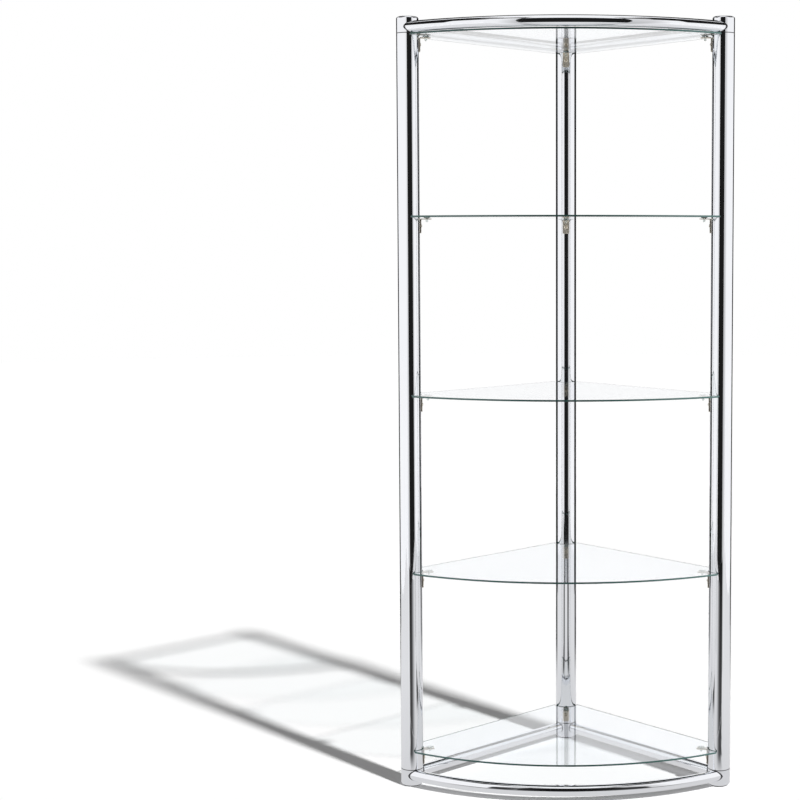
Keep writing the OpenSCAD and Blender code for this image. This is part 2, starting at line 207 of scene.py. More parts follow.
def paintSatin(bench, look):
    place = bench.objectPlace()
    along = bench.attribute("wallPlace", "Vector")
    drawn = bench.noise(along, detail=3.0, stretch=(60, 2600, 1))
    cloud = bench.noise(place, scale=130.0, detail=3.0)
    pits = bench.noise(place, scale=1500.0, detail=1.0)
    tint = cloud * look["cloudTint"] + bench.attribute("tone") * look["toneTint"]
    rough = look["roughness"] + drawn * look["drawnRoughness"] + cloud * look["cloudRoughness"]
    grain = drawn * look["drawnGrain"] + pits * look["pitGrain"]
    return bench.surface({
        "Base Color": bench.blend(tint, look["bright"], look["dull"]), "Metallic": 1.0,
        "Roughness": rough, "Normal": bench.bump(grain, strength=0.25, distance=0.0001)})


# Float glass: almost clear faces, and ground and polished edges where the green shows, painted
# paler towards the sides as painted light
glassLook = {
    "tint": (0.950, 0.968, 0.990, 1), "wiped": (0.930, 0.952, 0.978, 1),
    "shade": (0.970, 0.978, 0.980, 1), "ior": 1.5}
edgeLook = {
    "deep": (0.006, 0.028, 0.024, 1), "pale": (0.095, 0.180, 0.170, 1), "paleFrom": 0.05,
    "paleOver": 0.32, "sideLightTint": 0.8, "depthTint": 0.25, "ior": 1.5, "roughness": 0.10,
    "wheelRoughness": 0.10, "cloudRoughness": 0.05}


def paintGlass(bench, look):
    place = bench.objectPlace()
    wipes = bench.noise(place, scale=9.0, detail=3.0, stretch=(1, 3, 1))
    waves = bench.noise(place, scale=4.0, detail=1.0)
    glass = bench.surface({
        "Base Color": bench.blend(wipes, look["tint"], look["wiped"]), "Roughness": 0.0,
        "IOR": look["ior"], "Transmission Weight": 1.0,
        "Normal": bench.bump(waves, strength=0.05, distance=0.0002)})
    # Lamps, and what the chrome mirrors, pass straight through
    straight = bench.clamp(bench.ray("Shadow") + bench.ray("Glossy") * (1 - bench.ray("Singular")))
    return bench.either(straight, glass, bench.clear(look["shade"]))


def paintGlassEdge(bench, look):
    along = bench.attribute("wallPlace", "Vector")
    place = bench.objectPlace()
    depth = bench.noise(along, detail=3.0, stretch=(7, 300, 1))
    wheel = bench.noise(along, stretch=(40, 3200, 1))
    cloud = bench.noise(place, scale=60.0)
    aside = bench.maths("ABSOLUTE", bench.node("ShaderNodeSeparateXYZ", {0: place}, "X"))
    # Painted light: the edge's green is painted paler with the distance from the middle, along x
    paintedSideLight = bench.clamp((aside - look["paleFrom"]) / look["paleOver"])
    tint = paintedSideLight * look["sideLightTint"] + depth * look["depthTint"]
    rough = look["roughness"] + wheel * look["wheelRoughness"] + cloud * look["cloudRoughness"]
    return bench.surface({
        "Base Color": bench.blend(tint, look["deep"], look["pale"]),
        "Roughness": rough, "IOR": look["ior"],
        "Normal": bench.bump(wheel, strength=0.1, distance=0.0001)})


# Soft clear plastic of the suction pads
padLook = {
    "tint": (0.78, 0.85, 0.83, 1), "pale": (0.80, 0.85, 0.85, 1), "shade": (0.75, 0.80, 0.80, 1),
    "hazeTint": 0.5, "toneTint": 0.4, "ior": 1.48, "roughness": 0.20, "hazeRoughness": 0.12,
    "clearness": 0.85}


def paintPad(bench, look):
    haze = bench.noise(bench.objectPlace(), scale=260.0, detail=3.0)
    tint = haze * look["hazeTint"] + bench.attribute("tone") * look["toneTint"]
    plastic = bench.surface({
        "Base Color": bench.blend(tint, look["tint"], look["pale"]), "IOR": look["ior"],
        "Roughness": look["roughness"] + haze * look["hazeRoughness"],
        "Transmission Weight": look["clearness"],
        "Normal": bench.bump(haze, strength=0.15, distance=0.0002)})
    return bench.either(bench.ray("Shadow"), plastic, bench.clear(look["shade"]))


# Plain finishes of the glides and of the fasteners inside the collars
grainRoughness = 0.15
plainLooks = {
    "glidePlastic": {
        "bright": (0.030, 0.030, 0.033, 1), "dull": (0.060, 0.060, 0.064, 1), "metal": 0.0,
        "roughness": 0.42, "grain": 900.0},
    "zincSteel": {
        "bright": (0.52, 0.53, 0.55, 1), "dull": (0.38, 0.39, 0.42, 1), "metal": 1.0,
        "roughness": 0.30, "grain": 500.0},
    "plugAlloy": {
        "bright": (0.60, 0.61, 0.62, 1), "dull": (0.47, 0.48, 0.50, 1), "metal": 1.0,
        "roughness": 0.38, "grain": 700.0},
}


def paintPlain(bench, look):
    place = bench.objectPlace()
    cloud = bench.noise(place, scale=70.0, detail=3.0)
    grain = bench.noise(place, scale=look["grain"])
    return bench.surface({
        "Base Color": bench.blend(cloud, look["bright"], look["dull"]),
        "Metallic": look["metal"], "Roughness": look["roughness"] + grain * grainRoughness,
        "Normal": bench.bump(grain, strength=0.2, distance=0.0002)})


paints = [(name, paintChrome, {**chromeShared, **look}) for name, look in chromeLooks.items()]
paints += [(name, paintPlain, look) for name, look in plainLooks.items()]
paints += [("satinPlate", paintSatin, satinLook), ("shelfGlass", paintGlass, glassLook),
           ("shelfGlassEdge", paintGlassEdge, edgeLook), ("padPlastic", paintPad, padLook)]
finishes = {name: newMaterial(name, paint, look) for name, paint, look in paints}
print("finishes made:", len(finishes))


def evaluated(holder):
    # The object's mesh with its modifiers, as a plain mesh; the object goes
    graph = bpy.context.evaluated_depsgraph_get()
    mesh = bpy.data.meshes.new_from_object(holder.evaluated_get(graph))
    bpy.data.objects.remove(holder)
    return mesh


def settle(mesh, sharpDegrees=32.0):
    # Closes seams and poles, turns the faces outward, and shades flats flat and rounds round
    work = bmesh.new()
    work.from_mesh(mesh)
    bmesh.ops.remove_doubles(work, verts=work.verts, dist=weld)
    bmesh.ops.recalc_face_normals(work, faces=work.faces)
    for face in work.faces:
        face.smooth = True
    work.to_mesh(mesh)
    work.free()
    mesh.set_sharp_from_angle(angle=math.radians(sharpDegrees))
    holder = newPiece(mesh.name, mesh)
    weighting = holder.modifiers.new("weighting", "WEIGHTED_NORMAL")
    weighting.keep_sharp = True
    return evaluated(holder)


def keepPiece(name, mesh, node, finish=None):
    # Hands a finished mesh over to the frame, in place of its node
    if finish:
        mesh.materials.append(finishes[finish])
    piece = newPiece(name, mesh)
    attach(piece, "root")
    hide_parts(node)


def runningLength(loop):
    # From the first point of a closed loop to each of the others, and on to the first again
    steps = np.roll(loop, -1, 0) - loop
    return np.concatenate([[0], np.cumsum(np.linalg.norm(steps, axis=1))])


def markWalls(mesh, wallPlaces):
    # Keeps each corner's place along and round the wall, in metres
    layer = mesh.uv_layers.new(name="wallPlace")
    layer.data.foreach_set("uv", np.array(wallPlaces, np.float32).ravel())


def gridMesh(name, places, cut, closed):
    # Skins a grid of points [along][round], closed round, and along too where closed says so
    along, around = places.shape[:2]
    index = np.arange(along * around).reshape(along, around).tolist()
    runs = runningLength(places[:, 0])
    girth = float(np.linalg.norm(np.diff(places, axis=1), axis=2).sum(1).max())
    faces, walls = [], []
    for i in range(along if closed else along - 1):
        below, above = index[i], index[(i + 1) % along]
        for j in range(around):
            k = (j + 1) % around
            faces.append((below[j], below[k], above[k], above[j]))
            low, high = j / around * girth, (j + 1) / around * girth
            walls += [(runs[i], low), (runs[i], high), (runs[i + 1], high), (runs[i + 1], low)]
    mesh = bpy.data.meshes.new(name)
    mesh.from_pydata(places.reshape(-1, 3).tolist(), [], faces)
    markWalls(mesh, walls)
    # Per point darkening of the plate: where plating stops at cut ends, and painted shade at
    # joints and inside hollows
    cutAndShade = mesh.attributes.new("cut", "FLOAT", "POINT")
    cutAndShade.data.foreach_set("value", np.repeat(np.array(cut, np.float32), around))
    return settle(mesh)


def turned(name, profile, axis, closed, segments=128, corners=0, cornerRadius=0.0):
    # Turns a profile of (radius, height, cut) about an upright axis, where cut darkens the plate,
    # partly as painted joint shade; radii up to cornerRadius follow a regular polygon instead of a
    # circle
    radius, height, cut = np.array(profile, float).T
    angles = np.arange(segments) / segments * 2 * math.pi
    radii = radius[:, None] * np.ones(segments)
    if corners:
        step = 2 * math.pi / corners
        across = math.cos(step / 2) / np.cos((angles % step) - step / 2)
        radii = np.where(radii <= cornerRadius, radii * across, radii)
    places = np.zeros((len(profile), segments, 3))
    places[:, :, 0] = axis[0] + radii * np.cos(angles)
    places[:, :, 1] = axis[1] + radii * np.sin(angles)
    places[:, :, 2] = height[:, None]
    return gridMesh(name, places, cut, closed)


def arcPoints(centre, radius, first, last, steps):
    turns = [math.radians(first + (last - first) * i / steps) for i in range(steps + 1)]
    return [(centre[0] + radius * math.cos(t), centre[1] + radius * math.sin(t)) for t in turns]


# Where the posts stand, read from the frame
postBoxes = {side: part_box("post_" + side) for side in sides}
postAxes = {side: Vector(((low.x + high.x) / 2, (low.y + high.y) / 2))
            for side, (low, high) in postBoxes.items()}
postRadius = (postBoxes["left"][1].x - postBoxes["left"][0].x) / 2
halfWidth = postAxes["right"].x
frontY = postAxes["left"].y


# Posts: plain tubes, which meet the collars at a fine chamfer, dark where the plating ends, with
# painted shade of the joint there
seam = {"chamfer": 0.0007, "width": 0.0011, "cutAndShade": 0.75}
postSizes = {"wall": 0.0015, "rings": 40, "segments": 160}
for side in sides:
    low, high = postBoxes[side]
    outer, inner = postRadius, postRadius - postSizes["wall"]
    chamfer, width, count = seam["chamfer"], seam["width"], postSizes["rings"]
    rings = [low.z + width + (high.z - low.z - 2 * width) * i / count for i in range(count + 1)]
    profile = [(outer - chamfer, low.z, 1), (outer, low.z + chamfer, seam["cutAndShade"])]
    profile += [(outer, z, 0) for z in rings]
    profile += [(outer, high.z - chamfer, seam["cutAndShade"]), (outer - chamfer, high.z, 1),
                (inner, high.z, 1), (inner, low.z, 1)]
    mesh = turned("post_" + side, profile, postAxes[side], True, postSizes["segments"])
    keepPiece("postTube_" + side, mesh, "post_" + side, "chromeTube")
print("posts turned")


# Collars: rounded outer edge, cup for the screws, web and spigot
collarSizes = {
    "edge": 0.0045, "edgeSteps": 14, "wall": 0.0054, "web": 0.005, "spigot": 0.008,
    "spigotWall": 0.003, "spigotGap": 0.0001, "boltHole": 0.00425, "lip": 0.0004,
    "lipShade": 0.2, "segments": 160}


def collarProfile(height, s):
    bore, web = postRadius - s["wall"], height - s["web"]
    spigot, spigotTop = postRadius - postSizes["wall"] - s["spigotGap"], height + s["spigot"]
    spigotBore, chamfer = spigot - s["spigotWall"], seam["chamfer"]
    rim = arcPoints((postRadius - s["edge"], s["edge"]), s["edge"], -90, 0, s["edgeSteps"])
    # The third values darken the plate: painted shade at the lip, at the top chamfer and inside
    # the cup
    profile = [(bore, s["lip"], 1), (bore + s["lip"], 0, s["lipShade"])]
    profile += [(r, z, 0) for r, z in rim]
    profile += [(postRadius, height - seam["width"], 0),
                (postRadius, height - chamfer, seam["cutAndShade"]), (postRadius - chamfer, height, 1),
                (spigot, height, 1), (spigot, spigotTop, 1), (spigotBore, spigotTop, 1),
                (spigotBore, height, 1), (s["boltHole"], height, 1), (s["boltHole"], web, 1),
                (bore, web, 1)]
    return profile


for end in ends:
    for side in sides:
        node = f"collar_{end}_{side}"
        low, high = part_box(node)
        foot, head = postBoxes[side][0].z, postBoxes[side][1].z
        height = high.z - head if end == "top" else foot - low.z
        profile = [(r, high.z - z if end == "top" else low.z + z, cut)
                   for r, z, cut in collarProfile(height, collarSizes)]
        mesh = turned(node, profile, postAxes[side], True, collarSizes["segments"])
        keepPiece(f"collarCasting_{end}_{side}", mesh, node, "chromeCasting")


# Top caps, slightly domed
capSizes = {"skirtWall": 0.0015, "skirt": 0.008, "thick": 0.002, "edge": 0.0005, "edgeShade": 0.1,
            "dome": 0.0008, "domeShares": (0, 0.25, 0.5, 0.75, 0.9)}
for side in sides:
    s, node = capSizes, "top_cap_" + side
    low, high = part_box(node)
    radius, top = (high.x - low.x) / 2, high.z
    inner, rim, under = radius - s["skirtWall"], top - s["dome"], top - s["thick"]
    profile = [(radius * share, top - s["dome"] * share ** 2, 0) for share in s["domeShares"]]
    # The darkened rim and skirt paint the shade where the cap sits in the collar
    profile += [(radius - s["edge"], rim, s["edgeShade"]), (radius, rim - s["edge"], 1),
                (radius, top - s["skirt"], 1), (inner, top - s["skirt"], 1), (inner, under, 1),
                (0, under, 1)]
    mesh = turned(node, profile, postAxes[side], False)
    keepPiece("capDisc_" + side, mesh, node, "chromeSpun")

# Black glides under the feet, with a shallow ring
glideSizes = {"skirtWall": 0.0015, "skirtRadius": 0.0199, "skirt": 0.008, "thick": 0.002,
              "bevel": 0.0006, "bevelShare": 0.3, "ring": 0.012, "ringDepth": 0.0003}
for side in sides:
    s, node = glideSizes, "foot_glide_" + side
    low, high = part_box(node)
    radius, thick, ringDepth = (high.x - low.x) / 2, s["thick"], s["ringDepth"]
    outer, inner = s["skirtRadius"], s["skirtRadius"] - s["skirtWall"]
    bevel, soft = s["bevel"], s["bevel"] * s["bevelShare"]
    profile = [(0, ringDepth), (s["ring"] - ringDepth, ringDepth), (s["ring"], 0),
               (radius - bevel, 0), (radius - soft, soft), (radius, bevel), (radius, thick),
               (outer, thick), (outer, thick + s["skirt"]), (inner, thick + s["skirt"]),
               (inner, thick), (0, thick)]
    mesh = turned(node, [(r, z, 0) for r, z in profile], postAxes[side], False)
    keepPiece("glideFoot_" + side, mesh, node, "glidePlastic")
print("collars, caps and glides turned")


# Geometry Nodes recipes: every size is a named input of the tree
sizeKinds = {float: "NodeSocketFloat", int: "NodeSocketInt"}
linkKinds = {"Part": "NodeSocketObject", "Material": "NodeSocketMaterial"}


def newRecipe(name, sizes, links=("Material",)):
    tree = bpy.data.node_groups.new(name, "GeometryNodeTree")
    for way in ("OUTPUT", "INPUT"):
        tree.interface.new_socket("Geometry", in_out=way, socket_type="NodeSocketGeometry")
    for label, value in sizes.items():
        kind = sizeKinds[type(value)]
        tree.interface.new_socket(label, in_out="INPUT", socket_type=kind).default_value = value
    for label in links:
        tree.interface.new_socket(label, in_out="INPUT", socket_type=linkKinds[label])
    bench = Bench(tree)
    opening = tree.nodes.new("NodeGroupInput")
    return bench, {socket.name: Wire(bench, socket) for socket in opening.outputs if socket.name}


def closeRecipe(bench, geometry, material):
    real = bench.node("GeometryNodeRealizeInstances", {0: geometry})
    painted = bench.node("GeometryNodeSetMaterial", {"Geometry": real, "Material": material})
    bench.node("NodeGroupOutput", {0: painted})
    return bench.tree


def cook(name, tree, values, source=None):
    # Runs a recipe on a mesh and returns the result as a plain mesh
    holder = newPiece(name, source or bpy.data.meshes.new(name + "Source"))
    stack = holder.modifiers.new("recipe", "NODES")
    stack.node_group = tree
    labels = {item.name: item.identifier for item in tree.interface.items_tree
              if item.in_out == "INPUT"}
    for label, value in values.items():
        stack[labels[label]] = value
    return settle(evaluated(holder))


def keepAttribute(bench, geometry, name, value, kind, domain):
    return bench.node("GeometryNodeStoreNamedAttribute", {
        "Geometry": geometry, "Name": name, 3: value}, data_type=kind, domain=domain)


# Rails: tubes whose ends are coped to the round of the collars, with a dark cut edge and a narrow
# band of painted joint shade beside it. The centre line of the bent ones passes a little in front
# of the front posts' axes
railPass = 0.0122
railSizes = {
    "Rail radius": 0.0127, "Wall": 0.0012, "Bevel": 0.0008, "Post radius": postRadius,
    "Gap": 0.0002, "Joint": 0.0030, "Height": 0.0, "Runs": 64, "Around": 96}


def tubeWalk(bench, sizes):
    # A closed walk along the tube's wall: outside, over one end, back inside, over the other.
    # Gives the side (-1 to 1), radius, cope radius, angle round the tube and the darkening at the
    # ends: cut edge and painted joint shade
    runs, around = sizes["Runs"], sizes["Around"]
    grid = bench.node("GeometryNodeMeshGrid", {
        "Size X": 1.0, "Size Y": 1.0, "Vertices X": runs * 2 + 5, "Vertices Y": around + 1})
    place = bench.node("GeometryNodeInputPosition")
    x, y = (bench.node("ShaderNodeSeparateXYZ", {0: place}, axis) for axis in "XY")
    step = (x + 0.5) * (runs * 2 + 4)
    outside = bench.clamp((step - 1) / (runs - 2))
    plated = bench.clamp(step) - bench.clamp(step - runs + 1)
    bevelOut = bench.clamp(step - runs)
    faceOut = bench.clamp(step - runs - 1)
    inside = bench.clamp((step - runs - 2) / runs)
    faceBack = bench.clamp(step - runs * 2 - 2)
    bevelBack = bench.clamp(step - runs * 2 - 3)
    wall, bevel = sizes["Wall"], sizes["Bevel"]
    radius = (sizes["Rail radius"] + bevel * (bevelBack - bevelOut)
              + (wall - bevel) * (faceBack - faceOut))
    cope = (sizes["Post radius"] + sizes["Gap"] + bevel * (1 - bevelOut + bevelBack)
            + sizes["Joint"] * plated)
    side = outside * 2 - 1 - inside * 2
    return grid, side, radius, cope, (y + 0.5) * math.tau, (1 - plated) * 2


def layTube(bench, grid, place, along, about, cut):
    # Moves the grid's points into place and keeps the wall coordinates and the darkening at the
    # ends, which is cut edge and painted joint shade
    wallPlace = bench.node("ShaderNodeCombineXYZ", {0: along, 1: about})
    marked = keepAttribute(bench, grid, "wallPlace", wallPlace, "FLOAT2", "CORNER")
    marked = keepAttribute(bench, marked, "cut", cut, "FLOAT", "POINT")
    place = bench.node("ShaderNodeCombineXYZ", dict(enumerate(place)))
    moved = bench.node("GeometryNodeSetPosition", {"Geometry": marked, "Position": place})
    return bench.node("GeometryNodeMergeByDistance", {"Geometry": moved, "Distance": weld})


def bentRailRecipe():
    bench, sizes = newRecipe("bentRail", {
        **railSizes, "Arc radius": 0.63, "Arc centre": 0.39, "Half width": 0.35,
        "Post line": -0.12})
    grid, side, radius, cope, angle, cut = tubeWalk(bench, sizes)
    back = sizes["Arc centre"] - sizes["Post line"]
    toPost = (back ** 2 + sizes["Half width"] ** 2) ** 0.5
    postAngle = bench.maths("ARCTAN2", sizes["Half width"], back)
    reach = sizes["Arc radius"] + radius * bench.maths("COSINE", angle)
    seat = bench.maths("ARCCOSINE", (reach ** 2 + toPost ** 2 - cope ** 2) / (reach * toPost * 2))
    turn = side * (postAngle - seat)
    place = (reach * bench.maths("SINE", turn),
             sizes["Arc centre"] - reach * bench.maths("COSINE", turn),
             sizes["Height"] + radius * bench.maths("SINE", angle))
    laid = layTube(bench, grid, place, turn * sizes["Arc radius"], angle * radius, cut)
    return closeRecipe(bench, laid, sizes["Material"])


def straightRailRecipe():
    bench, sizes = newRecipe("straightRail", {
        **railSizes, "Half length": 0.25, "Turn": 0.8, "Middle X": 0.0, "Middle Y": 0.0})
    grid, side, radius, cope, angle, cut = tubeWalk(bench, sizes)
    aside = radius * bench.maths("COSINE", angle)
    along = side * (sizes["Half length"] - (cope ** 2 - aside ** 2) ** 0.5)
    cosine, sine = bench.maths("COSINE", sizes["Turn"]), bench.maths("SINE", sizes["Turn"])
    place = (sizes["Middle X"] + along * cosine - aside * sine,
             sizes["Middle Y"] + along * sine + aside * cosine,
             sizes["Height"] + radius * bench.maths("SINE", angle))
    laid = layTube(bench, grid, place, along, angle * radius, cut)
    return closeRecipe(bench, laid, sizes["Material"])


def railValues(node):
    low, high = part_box(node)
    return {**railSizes, "Rail radius": (high.z - low.z) / 2, "Height": (low.z + high.z) / 2,
            "Material": finishes["chromeTube"]}


bentTree, straightTree = bentRailRecipe(), straightRailRecipe()
for end in ends:
    node = f"rail_{end}_curved"
    values = railValues(node)
    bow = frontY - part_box(node)[0].y - values["Rail radius"]
    arcRadius = (halfWidth ** 2 + bow ** 2 - railPass ** 2) / (2 * (bow - railPass))
    values.update({"Arc radius": arcRadius, "Arc centre": frontY - bow + arcRadius,
                   "Half width": halfWidth, "Post line": frontY})
    keepPiece(f"bentRail_{end}", cook(node, bentTree, values), node)
    for side in ("left", "right"):
        node = f"rail_{end}_{side}"
        start, finish = postAxes[side], postAxes["rear"]
        run = finish - start
        values = railValues(node)
        values.update({"Half length": run.length / 2, "Turn": math.atan2(run.y, run.x),
                       "Middle X": (start.x + finish.x) / 2,
                       "Middle Y": (start.y + finish.y) / 2})
        mesh = cook(node, straightTree, values)
        keepPiece(f"straightRail_{end}_{side}", mesh, node)
print("rails swept and coped")


# Glass shelves: front arc, square rear corner, a notch at each post and rounded, polished edges
shelfSizes = {"cover": 0.025, "edgeOut": 0.018, "notchGap": 0.001, "tip": 0.004,
              "arris": 0.0006, "arrisSteps": 4, "frontSteps": 160, "notchSteps": 56,
              "tipSteps": 14, "edgeSteps": 24, "sharpDegrees": 40.0}


def towards(centre, point):
    return math.degrees(math.atan2(point[1] - centre[1], point[0] - centre[0]))


def shelfOutline(bow, s):
    # Points of the outline, clockwise from above: the left half, and its mirror image
    rise = bow - s["cover"]
    arcRadius = (halfWidth ** 2 + rise ** 2) / (2 * rise)
    arcCentre = Vector((0, frontY - bow + arcRadius))
    notch, tip = postRadius + s["notchGap"], s["tip"]
    left, rear = postAxes["left"], postAxes["rear"]
    outward, onward = Vector((-1, 1)).normalized(), Vector((1, 1)).normalized()
    toArc = (arcCentre - left).length
    sideSquares = toArc ** 2 + (notch + tip) ** 2 - (arcRadius - tip) ** 2
    bend = math.acos(sideSquares / (2 * toArc * (notch + tip)))
    tipTurn = math.atan2(arcCentre.y - left.y, arcCentre.x - left.x) - bend
    frontTip = left + (notch + tip) * Vector((math.cos(tipTurn), math.sin(tipTurn)))
    run = math.sqrt((notch + tip) ** 2 - (s["edgeOut"] - tip) ** 2)
    leftTip = left + outward * (s["edgeOut"] - tip) + onward * run
    rearTip = rear + outward * (s["edgeOut"] - tip) - onward * run
    last = towards(arcCentre, frontTip) % 360
    points = arcPoints(arcCentre, arcRadius, 270, last, s["frontSteps"] // 2)
    points += arcPoints(frontTip, tip, last, towards(frontTip, left), s["tipSteps"])[1:]
    fromTip = towards(left, frontTip)
    points += arcPoints(left, notch, fromTip, towards(left, leftTip), s["notchSteps"])[1:]
    points += arcPoints(leftTip, tip, towards(leftTip, left) % 360, 135, s["tipSteps"])[1:]
    start, finish = leftTip + outward * tip, rearTip + outward * tip
    points += [tuple(start.lerp(finish, i / s["edgeSteps"])) for i in range(1, s["edgeSteps"] + 1)]
    points += arcPoints(rearTip, tip, 135, towards(rearTip, rear), s["tipSteps"])[1:]
    points += arcPoints(rear, notch, towards(rear, rearTip) % 360, 270, s["notchSteps"] // 2)[1:]
    return np.array(points + [(-x, y) for x, y in reversed(points[1:-1])])


def shelfMesh(name, outline, low, high, s):
    # Rings up the edge, drawn in at the rounded arrises, between the two flat faces
    along = np.roll(outline, -1, 0) - np.roll(outline, 1, 0)
    outward = np.stack([-along[:, 1], along[:, 0]], 1) / np.linalg.norm(along, axis=1)[:, None]
    arris, count = s["arris"], len(outline)
    turns = [math.radians(90 * i / s["arrisSteps"]) for i in range(s["arrisSteps"] + 1)]
    rings = [(arris * (1 - math.sin(t)), low + arris * (1 - math.cos(t))) for t in turns]
    rings += [(arris * (1 - math.cos(t)), high - arris * (1 - math.sin(t))) for t in turns]
    places = [(x, y, z) for inset, z in rings for x, y in outline - outward * inset]
    faces, walls = [], []
    runs = runningLength(outline)
    for i in range(len(rings) - 1):
        below, above = rings[i][1] - low, rings[i + 1][1] - low
        for j in range(count):
            k = (j + 1) % count
            faces.append((i * count + j, i * count + k, (i + 1) * count + k, (i + 1) * count + j))
            walls += [(runs[j], below), (runs[j + 1], below), (runs[j + 1], above),
                      (runs[j], above)]
    edgeFaces = len(faces)
    for ring in (0, len(rings) - 1):
        faces.append(tuple(range(ring * count, (ring + 1) * count)))
        walls += [place[:2] for place in places[ring * count:(ring + 1) * count]]
    mesh = bpy.data.meshes.new(name)
    mesh.from_pydata(places, [], faces)
    for finish in ("shelfGlass", "shelfGlassEdge"):
        mesh.materials.append(finishes[finish])
    markWalls(mesh, walls)
    mesh.polygons.foreach_set("material_index", [1] * edgeFaces + [0, 0])
    return settle(mesh, s["sharpDegrees"])


for shelf in shelves:
    node = "glass_shelf_" + shelf
    low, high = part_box(node)
    outline = shelfOutline(frontY - low.y, shelfSizes)
    mesh = shelfMesh(node, outline, low.z, high.z, shelfSizes)
    keepPiece("glassShelf_" + shelf, mesh, node)
print("glass shelves cut")


# Brackets: a strip with rounded corners and two holes, bent to an angle
bracketSizes = {
    "width": 0.016, "thick": 0.002, "upright": 0.033, "level": 0.026, "bend": 0.0035,
    "bendSteps": 10, "corner": 0.003, "cornerSteps": 8, "edge": 0.0003, "edgeSteps": 2,
    "screwDrop": 0.0165, "screwHole": 0.0055, "padReach": 0.016, "padHole": 0.0045,
    "holeSteps": 24, "weld": 1e-6, "sharpDegrees": 30.0, "gap": 0.0001, "padHeight": 0.0025,
    "turns": {"left": 15.0, "right": 165.0, "rear": -90.0}}


def flatStrip(s):
    # The strip before bending, in its own plane: u runs from the foot of the upright leg
    middle = s["bend"] - s["thick"] / 2
    bendStart, bendLength = s["upright"] - s["bend"], middle * math.pi / 2
    length = bendStart + bendLength + s["level"] - s["bend"]
    half, corner = s["width"] / 2, s["corner"]
    outline = []
    for (u, w), first in (((length - corner, half - corner), 0), ((corner, half - corner), 90),
                          ((corner, corner - half), 180), ((length - corner, corner - half), 270)):
        outline += arcPoints((u, w), corner, first, first + 90, s["cornerSteps"])
    holes = [((s["upright"] - s["screwDrop"], 0), s["screwHole"] / 2),
             ((length - s["level"] + s["padReach"], 0), s["padHole"] / 2)]
    rings = [outline] + [arcPoints(c, r, 0, 360, s["holeSteps"])[:-1] for c, r in holes]
    drawing = bpy.data.curves.new("strip", "CURVE")
    drawing.dimensions = "2D"
    drawing.fill_mode = "BOTH"
    drawing.extrude = s["thick"] / 2 - s["edge"]
    drawing.bevel_depth = s["edge"]
    drawing.bevel_resolution = s["edgeSteps"]
    drawing.offset = -s["edge"]
    for ring in rings:
        spline = drawing.splines.new("POLY")
        spline.points.add(len(ring) - 1)
        for point, (u, w) in zip(spline.points, ring):
            point.co = (u, w, 0, 1)
        spline.use_cyclic_u = True
    mesh = evaluated(newPiece("strip", drawing))
    work = bmesh.new()
    work.from_mesh(mesh)
    bmesh.ops.remove_doubles(work, verts=work.verts, dist=s["weld"])
    for i in range(s["bendSteps"] + 1):
        u = bendStart + bendLength * i / s["bendSteps"]
        everything = work.verts[:] + work.edges[:] + work.faces[:]
        bmesh.ops.bisect_plane(work, geom=everything, plane_co=(u, 0, 0), plane_no=(1, 0, 0))
    work.to_mesh(mesh)
    work.free()
    return mesh, bendStart, bendLength, middle


def bentStrip(s):
    # Bends the strip: the upright leg's back is at x = 0 and the level leg's top at z = 0
    mesh, bendStart, bendLength, middle = flatStrip(s)
    co = np.zeros(len(mesh.vertices) * 3)
    mesh.vertices.foreach_get("co", co)
    u, w, t = co.reshape(-1, 3).T
    turn = np.clip((u - bendStart) / bendLength, 0, 1) * math.pi / 2
    beyond = np.clip(u - bendStart - bendLength, 0, None)
    before = np.clip(u - bendStart, None, 0)
    radius = middle + t
    x = s["bend"] - radius * np.cos(turn) + beyond
    z = -s["bend"] + radius * np.sin(turn) + before
    corners = np.zeros(len(mesh.loops), int)
    mesh.loops.foreach_get("vertex_index", corners)
    markWalls(mesh, np.stack([u[corners], w[corners]], 1))
    mesh.vertices.foreach_set("co", np.stack([x, w, z], 1).ravel())
    return settle(mesh, s["sharpDegrees"])


def bracketSeat(shelf, side):
    # Places a part drawn on the back and top of a bracket
    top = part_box("glass_shelf_" + shelf)[0].z - bracketSizes["padHeight"]
    turn = Matrix.Rotation(math.radians(bracketSizes["turns"][side]), 4, "Z")
    out = Matrix.Translation((postRadius + bracketSizes["gap"], 0, 0))
    return Matrix.Translation((*postAxes[side], top)) @ turn @ out


strip = bentStrip(bracketSizes)
for shelf in shelves:
    for side in sides:
        mesh = strip.copy()
        mesh.transform(bracketSeat(shelf, side))
        name, node = f"angleBracket_{shelf}_{side}", f"bracket_{shelf}_{side}"
        keepPiece(name, mesh, node, "satinPlate")
print("brackets bent")


# Screws and suction pads: one drawn part each, set by Geometry Nodes at every bracket with its
# turn about itself and its tone at random
repeatSizes = {"Seed": 3, "Spin": math.tau}


def randomUpTo(bench, most, seed):
    return bench.node("FunctionNodeRandomValue", {"Min": 0.0, "Max": most, "Seed": seed}, 1,
                      data_type="FLOAT")


def repeatRecipe():
    bench, sizes = newRecipe("setAtSeats", repeatSizes, ("Part", "Material"))
    part = bench.node("GeometryNodeObjectInfo", {"Object": sizes["Part"], "As Instance": True},
                      "Geometry")
    seat = bench.node("GeometryNodeInputNamedAttribute", {"Name": "seatTurn"},
                      data_type="FLOAT_VECTOR")
    spin = randomUpTo(bench, sizes["Spin"], sizes["Seed"])
    placed = bench.node("GeometryNodeInstanceOnPoints", {
        "Points": sizes["Geometry"], "Instance": part, "Rotation": seat})
    about = bench.node("ShaderNodeCombineXYZ", {2: spin})
    placed = bench.node("GeometryNodeRotateInstances", {"Instances": placed, "Rotation": about})
    tone = randomUpTo(bench, 1.0, sizes["Seed"] + 1)
    placed = keepAttribute(bench, placed, "tone", tone, "FLOAT", "INSTANCE")
    return closeRecipe(bench, placed, sizes["Material"])


